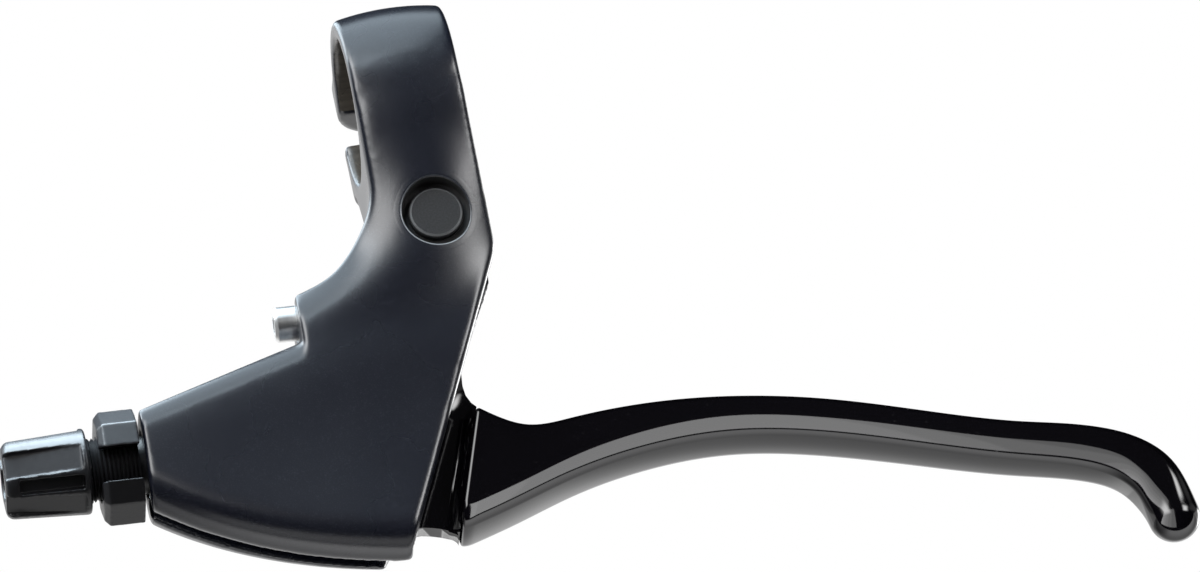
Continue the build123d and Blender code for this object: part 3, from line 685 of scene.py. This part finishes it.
# Studio light: white cards and soft boxes far from the part, with black gaps between them.
# Those in the sky are windows in it, by slope from the front horizon, or by right, up and back.
# The nearer cards each light only some pieces, as if black flags kept them off the others.
COOL = (0.84, 1.0, 1.12)
ROOM = 0.008
AHEAD = 0.02
LEFT_BOX = 6.5
RIGHT_BOX = 10.0
RIGHT_RIM = 0.3
BLADE_CARDS = 6
BLADE_CARD_START = 5
BLADE_CARD_WIDTH = 16
BLADE_CARD_LIGHT = 3.5
BLADE_CARD_FADE = 0.42


def window(place, low, high, edge):
    """1 from low to high, with a soft edge at both."""
    return place.ease(low - edge, low + edge) * (1.0 - place.ease(high - edge, high + edge))


world = bpy.data.worlds.new("studio")
bpy.context.scene.world = world
world.use_nodes = True
sky = Shade(world.node_tree)
right, back, up = sky.node("ShaderNodeTexCoord", output="Generated").axes()
slope = sky.math("ARCTAN2", up, 0.0 - back) * (180.0 / pi)
ahead = window(slope, 2.0, 45.0, 8.0)
left_box = window(right, -0.74, -0.32, 0.14) * window(up, -0.02, 0.7, 0.1)
left_box = left_box * (1.0 - back.ease(0.35, 0.7))
right_box = window(right, 0.56, 0.8, 0.08) * window(up, 0.0, 0.3, 0.06)
right_rim = window(right, 0.9, 1.1, 0.04) * window(up, 0.1, 0.7, 0.1)
below = 0.6 + slope.ease(-150.0, -91.0) * 1.3 + (1.0 - slope.ease(-174.0, -152.0)) * 0.9
below = below * (1.0 - slope.ease(-91.0, -89.0)) * (0.3 + right.ease(-0.8, -0.3) * 0.7)
behind = slope.ease(145.0, 151.0)
boxes = left_box * LEFT_BOX + right_box * RIGHT_BOX + right_rim * RIGHT_RIM
light = ROOM + ahead * AHEAD + boxes + below + behind
seen = sky.node("ShaderNodeLightPath", output="Is Camera Ray")
backdrop = seen + (1.0 - seen) * light
sky.feed(world.node_tree.nodes["Background"].inputs["Color"], backdrop)


def lit_card(name, low_left, low_right, high_left, radiance, colour, pieces):
    """A soft light over an oblong with these corners, in mm, that reaches only the given pieces.
    It shines to the side from which the three corners run clockwise."""
    corner, wide, tall = (Vector(place) * MM for place in (low_left, low_right, high_left))
    width, height = wide - corner, tall - corner
    lamp = bpy.data.lights.new(name, "AREA")
    lamp.shape = "RECTANGLE"
    lamp.size = width.length
    lamp.size_y = height.length
    lamp.energy = 4.0 * radiance * width.length * height.length
    lamp.color = colour
    card = new_object(name, lamp)
    facing = width.cross(height).normalized()
    turned = Matrix((width.normalized(), height.normalized(), facing)).transposed().to_4x4()
    card.matrix_world = Matrix.Translation(corner + (width + height) / 2) @ turned
    card.visible_camera = False
    card.light_linking.receiver_collection = bpy.data.collections.new(name)
    for piece in pieces:
        card.light_linking.receiver_collection.objects.link(piece)


satin_pieces = (casting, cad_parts["pivot_axle"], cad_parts["reach_screw"])
lit_card("top_box", (-320, -300, 200), (80, -300, 200), (-320, 60, 200), 1.7, COOL, satin_pieces)
lit_card("arm_box", (-320, -150, 200), (-45, -150, 200), (-320, 300, 200), 2.6, COOL, satin_pieces)
lit_card("knob_card", (-320, -230, 200), (60, -230, 200), (-320, 40, 200), 21.0, COOL, (knob, nut))
lit_card("arm_glow", (-110, -330, 200), (22, -330, 200), (-110, -130, 200), 6.5, COOL, (casting,))
lit_card("arm_card", (-90, -14, -128), (20, -14, -128), (-90, -45, -128), 0.6, WHITE, (casting,))
for strip in range(BLADE_CARDS):
    left = BLADE_CARD_START + BLADE_CARD_WIDTH * strip
    corners = (left, -15, -130), (left + BLADE_CARD_WIDTH, -15, -130), (left, -120, -72)
    radiance = BLADE_CARD_LIGHT - BLADE_CARD_FADE * strip
    lit_card("blade_card", *corners, radiance, WHITE, (forging,))


# Camera: a long lens at the photo's viewing angle, below the part and a little to its left.
# It stands well back, and its focal length follows from the width that the picture takes in.
LOOKED_AT = Vector((25.5, 9.5, -30.9)) * MM
VIEW_BACK = Vector((-0.122, -0.91, -0.391)).normalized()
VIEW_RIGHT = Vector((0.979, -0.062, -0.197))
VIEW_DISTANCE = 2.5
PICTURE_WIDTH = 182.5 * MM
SENSOR_WIDTH = 36.0

across = (VIEW_RIGHT - VIEW_BACK * VIEW_RIGHT.dot(VIEW_BACK)).normalized()
upright = VIEW_BACK.cross(across)
lens = bpy.data.cameras.new("camera")
lens.sensor_width = SENSOR_WIDTH
lens.lens = SENSOR_WIDTH * VIEW_DISTANCE / PICTURE_WIDTH
camera = new_object("camera", lens)
turned = Matrix((across, upright, VIEW_BACK)).transposed().to_4x4()
camera.matrix_world = Matrix.Translation(LOOKED_AT + VIEW_BACK * VIEW_DISTANCE) @ turned
bpy.context.scene.camera = camera
bpy.context.scene.view_settings.view_transform = "Standard"
